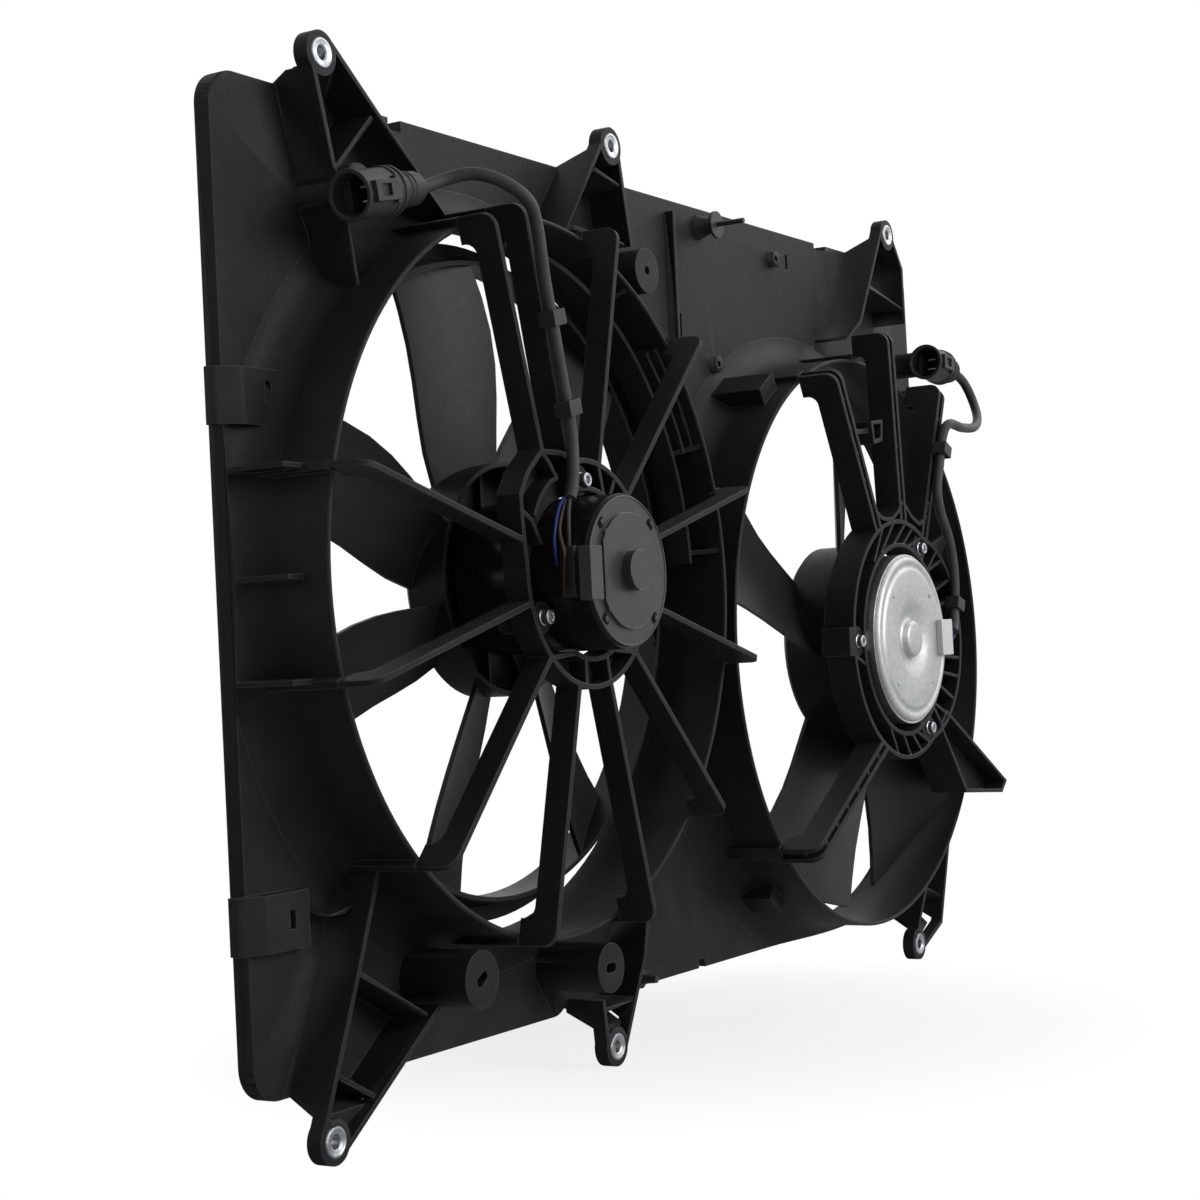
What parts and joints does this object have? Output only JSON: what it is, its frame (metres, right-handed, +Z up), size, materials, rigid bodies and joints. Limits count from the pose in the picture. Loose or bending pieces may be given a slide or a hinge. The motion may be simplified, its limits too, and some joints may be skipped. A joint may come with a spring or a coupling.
{
  "type": "radiator cooling fan",
  "caption": "Twin electric radiator fan: moulded shroud with two air throats, ribbed motor carriers, a ring-tipped fan and an open-bladed fan, each on its own motor.",
  "frame": {"origin": "centre of the panel on the plane of the rim that seats against the radiator", "axes": "+X along the panel to the right as seen from the motors, +Z up, +Y toward the radiator, so the motors face -Y"},
  "size_m": [0.802, 0.1115, 0.5335],
  "materials": {
    "shroud_plastic": "satin moulded",
    "fan_plastic": "satin moulded",
    "zinc_steel": "zinc plated",
    "clip_plastic": "satin",
    "ferrite": "sintered",
    "bearing_steel": "ground",
    "pale_plastic": "satin",
    "sleeve": "ribbed sleeve",
    "lamination_steel": "stamped stack",
    "copper": "enamelled",
    "card_plastic": "moulded card",
    "black_case": "gloss black coat",
    "bright_case": "zinc plated",
    "blue_wire": "insulation"
  },
  "bodies": {
    "shroud": {"shroud_panel": "shroud_plastic", "left_throat": "shroud_plastic", "right_throat": "shroud_plastic", "left_motor_carrier": "shroud_plastic", "left_struts": "shroud_plastic", "right_motor_carrier": "shroud_plastic", "right_struts": "shroud_plastic", "mount_bushings": "zinc_steel", "harness_studs": "clip_plastic", "left_motor_case": "black_case", "left_motor_end_plate": "black_case", "left_brush_card": "card_plastic", "left_magnets": "ferrite", "left_bearings": "bearing_steel", "left_motor_screws": "zinc_steel", "left_lead_block": "pale_plastic", "left_lead_sleeve": "sleeve", "left_connector": "clip_plastic", "left_lead_clips": "clip_plastic", "right_motor_case": "bright_case", "right_motor_end_cap": "bright_case", "right_brush_card": "card_plastic", "right_magnets": "ferrite", "right_bearings": "bearing_steel", "right_motor_screws": "zinc_steel", "right_lead_block": "pale_plastic", "right_lead_sleeve": "sleeve", "right_lead_wires": "blue_wire", "right_connector": "clip_plastic", "right_lead_clips": "clip_plastic"},
    "left_rotor": {"left_fan": "fan_plastic", "left_shaft": "bearing_steel", "left_armature": "lamination_steel", "left_windings": "copper", "left_commutator": "copper", "left_fan_nut": "zinc_steel"},
    "right_rotor": {"right_fan": "fan_plastic", "right_shaft": "bearing_steel", "right_armature": "lamination_steel", "right_windings": "copper", "right_commutator": "copper", "right_fan_nut": "zinc_steel"}
  },
  "joints": [
    {"name": "left_fan_spin", "type": "hinge", "parent": "shroud", "child": "left_rotor", "pos_m": [-0.1945, -0.02, 0.001], "axis": [0, -1, 0], "continuous": true},
    {"name": "right_fan_spin", "type": "hinge", "parent": "shroud", "child": "right_rotor", "pos_m": [0.1915, -0.04, -0.041], "axis": [0, -1, 0], "continuous": true}
  ]
}
